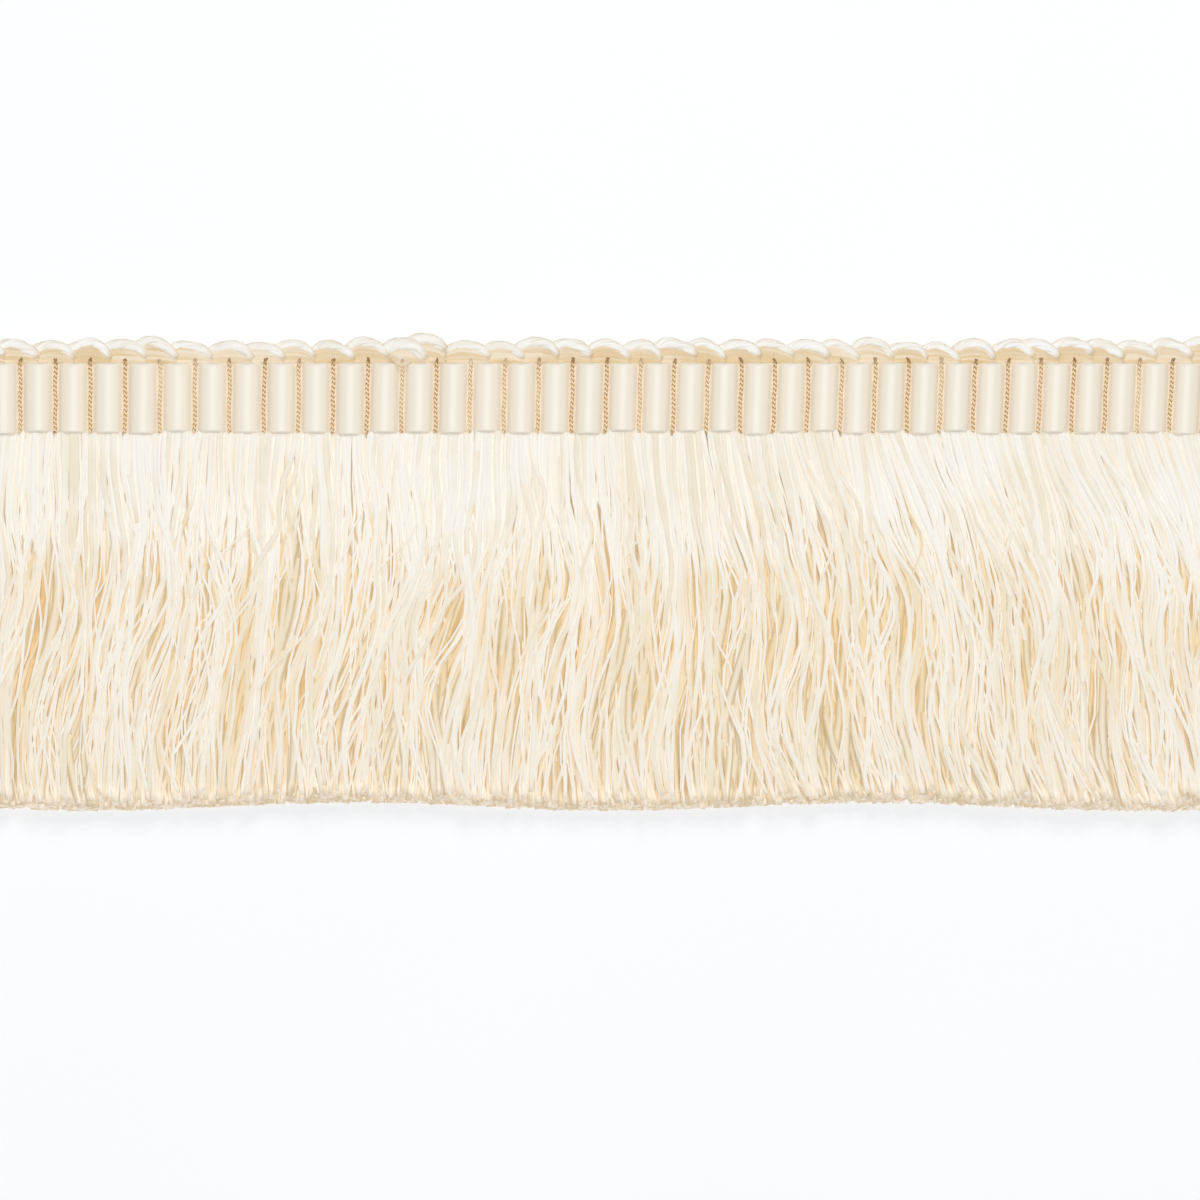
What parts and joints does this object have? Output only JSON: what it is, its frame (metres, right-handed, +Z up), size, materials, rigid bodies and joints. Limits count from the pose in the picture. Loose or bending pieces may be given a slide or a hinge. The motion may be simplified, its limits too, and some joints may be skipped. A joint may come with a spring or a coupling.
{
  "type": "cut fringe trim",
  "caption": "Flat length of cut fringe trim with a ribbed woven heading, twisted binding threads between the ribs, a looped upper edge and a dense skirt of loose cut strands.",
  "frame": {"origin": "middle of the flat back of the woven heading, on the surface that the trim lies on", "axes": "+X along the trim, +Y across it from the fringe towards the looped edge, +Z up, out of the trim's face"},
  "size_m": [0.1824, 0.0639, 0.0038],
  "materials": {
    "heading_cloth": "cream satin-faced woven rayon",
    "binding_thread": "gold two-ply twisted thread",
    "loop_yarn": "soft cream multi-ply yarn",
    "fringe_yarn": "loose cream cut rayon yarn"
  },
  "bodies": {
    "root": {"heading": "heading_cloth", "loop_edge": "loop_yarn", "fringe": "fringe_yarn", "binding_thread_01": "binding_thread", "binding_thread_02": "binding_thread", "binding_thread_03": "binding_thread", "binding_thread_04": "binding_thread", "binding_thread_05": "binding_thread", "binding_thread_06": "binding_thread", "binding_thread_07": "binding_thread", "binding_thread_08": "binding_thread", "binding_thread_09": "binding_thread", "binding_thread_10": "binding_thread", "binding_thread_11": "binding_thread", "binding_thread_12": "binding_thread", "binding_thread_13": "binding_thread", "binding_thread_14": "binding_thread", "binding_thread_15": "binding_thread", "binding_thread_16": "binding_thread", "binding_thread_17": "binding_thread", "binding_thread_18": "binding_thread", "binding_thread_19": "binding_thread", "binding_thread_20": "binding_thread", "binding_thread_21": "binding_thread", "binding_thread_22": "binding_thread", "binding_thread_23": "binding_thread", "binding_thread_24": "binding_thread", "binding_thread_25": "binding_thread", "binding_thread_26": "binding_thread", "binding_thread_27": "binding_thread", "binding_thread_28": "binding_thread", "binding_thread_29": "binding_thread", "binding_thread_30": "binding_thread", "binding_thread_31": "binding_thread", "binding_thread_32": "binding_thread", "binding_thread_33": "binding_thread", "binding_thread_34": "binding_thread", "binding_thread_35": "binding_thread", "binding_thread_36": "binding_thread"}
  },
  "joints": []
}
